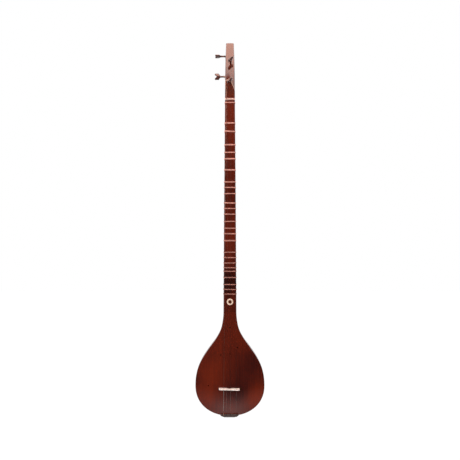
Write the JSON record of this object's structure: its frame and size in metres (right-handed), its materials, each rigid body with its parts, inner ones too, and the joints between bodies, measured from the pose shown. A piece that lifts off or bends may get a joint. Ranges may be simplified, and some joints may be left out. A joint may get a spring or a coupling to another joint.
{
  "type": "setar",
  "caption": "Long-necked lute: ribbed pear-shaped bowl, thin soundboard with drilled holes, tied gut frets, bone bridge and nut, and metal strings wound on friction pegs.",
  "frame": {"origin": "middle of the flat foot of the tailpiece, in the plane of the front of the neck", "axes": "+Z from the tail to the head along the neck, -Y out of the soundboard towards the player's plucking hand, +X to the right of someone facing the soundboard"},
  "size_m": [0.1572, 0.1544, 0.8561],
  "materials": {
    "soundboard": "dark red-brown gloss varnish over straight-grained wood",
    "bowl": "dark red-brown gloss varnish over bent staves",
    "neck": "dark red-brown varnish over long straight grain",
    "head": "red-brown high-gloss varnish",
    "inner_wood": "bare sawn wood",
    "peg_wood": "dark polished hardwood",
    "inlay_disc": "dark wood, polished flush",
    "bone": "polished pale bone",
    "gut": "translucent twisted gut",
    "steel": "bright drawn wire",
    "bronze": "bronze-wound wire"
  },
  "bodies": {
    "body": {"soundboard": "soundboard", "bowl_rib_01": "bowl", "bowl_rib_02": "bowl", "bowl_rib_03": "bowl", "bowl_rib_04": "bowl", "bowl_rib_05": "bowl", "bowl_rib_06": "bowl", "bowl_rib_07": "bowl", "bowl_rib_08": "bowl", "bowl_rib_09": "bowl", "bowl_rib_10": "bowl", "bowl_rib_11": "bowl", "tail_block": "inner_wood", "neck_block": "inner_wood", "tailpiece": "peg_wood", "neck": "neck", "head": "head", "nut": "bone", "nut_binding": "gut", "inlay_ring": "bone", "inlay_disc": "inlay_disc", "bridge": "bone", "string_bass": "bronze", "string_octave": "steel", "string_second": "steel", "string_first": "steel"},
    "peg_front_lower": {"peg_front_lower": "peg_wood"},
    "peg_side_lower": {"peg_side_lower": "peg_wood"},
    "peg_front_upper": {"peg_front_upper": "peg_wood"},
    "peg_side_upper": {"peg_side_upper": "peg_wood"},
    "fret_01": {"fret_01": "gut"},
    "fret_02": {"fret_02": "gut"},
    "fret_03": {"fret_03": "gut"},
    "fret_04": {"fret_04": "gut"},
    "fret_05": {"fret_05": "gut"},
    "fret_06": {"fret_06": "gut"},
    "fret_07": {"fret_07": "gut"},
    "fret_08": {"fret_08": "gut"},
    "fret_09": {"fret_09": "gut"},
    "fret_10": {"fret_10": "gut"},
    "fret_11": {"fret_11": "gut"},
    "fret_12": {"fret_12": "gut"},
    "fret_13": {"fret_13": "gut"},
    "fret_14": {"fret_14": "gut"},
    "fret_15": {"fret_15": "gut"},
    "fret_16": {"fret_16": "gut"},
    "fret_17": {"fret_17": "gut"},
    "fret_18": {"fret_18": "gut"},
    "fret_19": {"fret_19": "gut"},
    "fret_20": {"fret_20": "gut"},
    "fret_21": {"fret_21": "gut"},
    "fret_22": {"fret_22": "gut"},
    "fret_23": {"fret_23": "gut"},
    "fret_24": {"fret_24": "gut"},
    "fret_25": {"fret_25": "gut"}
  },
  "joints": [
    {"name": "peg_front_lower_turn", "type": "hinge", "parent": "body", "child": "peg_front_lower", "pos_m": [0, 0, 0.7606], "axis": [0, -1, 0], "continuous": true},
    {"name": "peg_side_lower_turn", "type": "hinge", "parent": "body", "child": "peg_side_lower", "pos_m": [0, 0.00918, 0.7785], "axis": [-1, 0, 0], "continuous": true},
    {"name": "peg_front_upper_turn", "type": "hinge", "parent": "body", "child": "peg_front_upper", "pos_m": [0.0016, 0, 0.81], "axis": [0, -1, 0], "continuous": true},
    {"name": "peg_side_upper_turn", "type": "hinge", "parent": "body", "child": "peg_side_upper", "pos_m": [0, 0.01289, 0.8267], "axis": [-1, 0, 0], "continuous": true},
    {"name": "fret_01_slide", "type": "slide", "parent": "body", "child": "fret_01", "axis": [0, 0, 1], "range_m": [-0.002, 0.002]},
    {"name": "fret_02_slide", "type": "slide", "parent": "body", "child": "fret_02", "axis": [0, 0, 1], "range_m": [-0.002, 0.002]},
    {"name": "fret_03_slide", "type": "slide", "parent": "body", "child": "fret_03", "axis": [0, 0, 1], "range_m": [-0.002, 0.002]},
    {"name": "fret_04_slide", "type": "slide", "parent": "body", "child": "fret_04", "axis": [0, 0, 1], "range_m": [-0.002, 0.002]},
    {"name": "fret_05_slide", "type": "slide", "parent": "body", "child": "fret_05", "axis": [0, 0, 1], "range_m": [-0.002, 0.002]},
    {"name": "fret_06_slide", "type": "slide", "parent": "body", "child": "fret_06", "axis": [0, 0, 1], "range_m": [-0.002, 0.002]},
    {"name": "fret_07_slide", "type": "slide", "parent": "body", "child": "fret_07", "axis": [0, 0, 1], "range_m": [-0.002, 0.002]},
    {"name": "fret_08_slide", "type": "slide", "parent": "body", "child": "fret_08", "axis": [0, 0, 1], "range_m": [-0.002, 0.002]},
    {"name": "fret_09_slide", "type": "slide", "parent": "body", "child": "fret_09", "axis": [0, 0, 1], "range_m": [-0.002, 0.002]},
    {"name": "fret_10_slide", "type": "slide", "parent": "body", "child": "fret_10", "axis": [0, 0, 1], "range_m": [-0.002, 0.002]},
    {"name": "fret_11_slide", "type": "slide", "parent": "body", "child": "fret_11", "axis": [0, 0, 1], "range_m": [-0.002, 0.002]},
    {"name": "fret_12_slide", "type": "slide", "parent": "body", "child": "fret_12", "axis": [0, 0, 1], "range_m": [-0.002, 0.002]},
    {"name": "fret_13_slide", "type": "slide", "parent": "body", "child": "fret_13", "axis": [0, 0, 1], "range_m": [-0.002, 0.002]},
    {"name": "fret_14_slide", "type": "slide", "parent": "body", "child": "fret_14", "axis": [0, 0, 1], "range_m": [-0.002, 0.002]},
    {"name": "fret_15_slide", "type": "slide", "parent": "body", "child": "fret_15", "axis": [0, 0, 1], "range_m": [-0.002, 0.002]},
    {"name": "fret_16_slide", "type": "slide", "parent": "body", "child": "fret_16", "axis": [0, 0, 1], "range_m": [-0.002, 0.002]},
    {"name": "fret_17_slide", "type": "slide", "parent": "body", "child": "fret_17", "axis": [0, 0, 1], "range_m": [-0.002, 0.002]},
    {"name": "fret_18_slide", "type": "slide", "parent": "body", "child": "fret_18", "axis": [0, 0, 1], "range_m": [-0.002, 0.002]},
    {"name": "fret_19_slide", "type": "slide", "parent": "body", "child": "fret_19", "axis": [0, 0, 1], "range_m": [-0.002, 0.002]},
    {"name": "fret_20_slide", "type": "slide", "parent": "body", "child": "fret_20", "axis": [0, 0, 1], "range_m": [-0.002, 0.002]},
    {"name": "fret_21_slide", "type": "slide", "parent": "body", "child": "fret_21", "axis": [0, 0, 1], "range_m": [-0.002, 0.002]},
    {"name": "fret_22_slide", "type": "slide", "parent": "body", "child": "fret_22", "axis": [0, 0, 1], "range_m": [-0.002, 0.002]},
    {"name": "fret_23_slide", "type": "slide", "parent": "body", "child": "fret_23", "axis": [0, 0, 1], "range_m": [-0.002, 0.002]},
    {"name": "fret_24_slide", "type": "slide", "parent": "body", "child": "fret_24", "axis": [0, 0, 1], "range_m": [-0.002, 0.002]},
    {"name": "fret_25_slide", "type": "slide", "parent": "body", "child": "fret_25", "axis": [0, 0, 1], "range_m": [-0.002, 0.002]}
  ]
}
